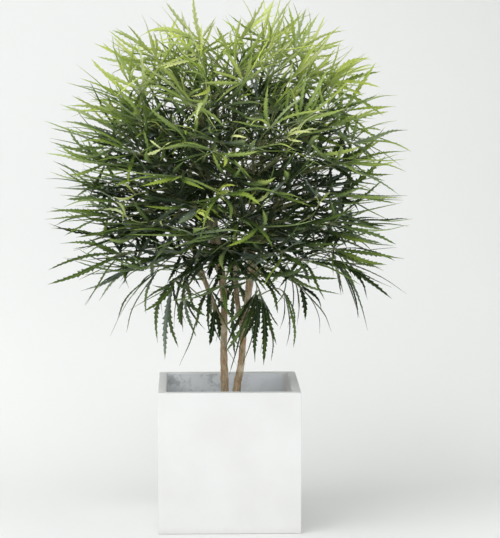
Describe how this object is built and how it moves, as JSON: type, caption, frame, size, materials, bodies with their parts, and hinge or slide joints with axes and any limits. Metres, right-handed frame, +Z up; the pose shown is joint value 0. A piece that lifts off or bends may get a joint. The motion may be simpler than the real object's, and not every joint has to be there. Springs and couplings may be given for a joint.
{
  "type": "potted false aralia",
  "caption": "Bushy house plant with narrow toothed palmate leaves on forked woody stems, in a plain white square planter.",
  "frame": {"origin": "centre of the planter's underside", "axes": "+Z up, the planter's sides along X and Y, the plant's front towards -Y"},
  "size_m": [0.7738, 0.7593, 1.1232],
  "materials": {
    "white_cement": "matte, painted white outside and bare grey inside",
    "potting_soil": "rough",
    "bark": "matte, finely cracked",
    "leaf_green": "satin"
  },
  "bodies": {
    "root": {"planter": "white_cement", "soil": "potting_soil", "stem_left": "bark", "stem_right": "bark", "leaf_01": "leaf_green", "leaf_02": "leaf_green", "leaf_03": "leaf_green", "leaf_04": "leaf_green", "leaf_05": "leaf_green", "leaf_06": "leaf_green", "leaf_07": "leaf_green", "leaf_08": "leaf_green", "leaf_09": "leaf_green", "leaf_10": "leaf_green", "leaf_11": "leaf_green", "leaf_12": "leaf_green", "leaf_13": "leaf_green", "leaf_14": "leaf_green", "leaf_15": "leaf_green", "leaf_16": "leaf_green", "leaf_17": "leaf_green", "leaf_18": "leaf_green", "leaf_19": "leaf_green", "leaf_20": "leaf_green", "leaf_21": "leaf_green", "leaf_22": "leaf_green", "leaf_23": "leaf_green", "leaf_24": "leaf_green", "leaf_25": "leaf_green", "leaf_26": "leaf_green", "leaf_27": "leaf_green", "leaf_28": "leaf_green", "leaf_29": "leaf_green", "leaf_30": "leaf_green", "leaf_31": "leaf_green", "leaf_32": "leaf_green", "leaf_33": "leaf_green", "leaf_34": "leaf_green", "leaf_35": "leaf_green", "leaf_36": "leaf_green", "leaf_37": "leaf_green", "leaf_38": "leaf_green", "leaf_39": "leaf_green", "leaf_40": "leaf_green", "leaf_41": "leaf_green", "leaf_42": "leaf_green", "leaf_43": "leaf_green", "leaf_44": "leaf_green", "leaf_45": "leaf_green", "leaf_46": "leaf_green", "leaf_47": "leaf_green"}
  },
  "joints": []
}
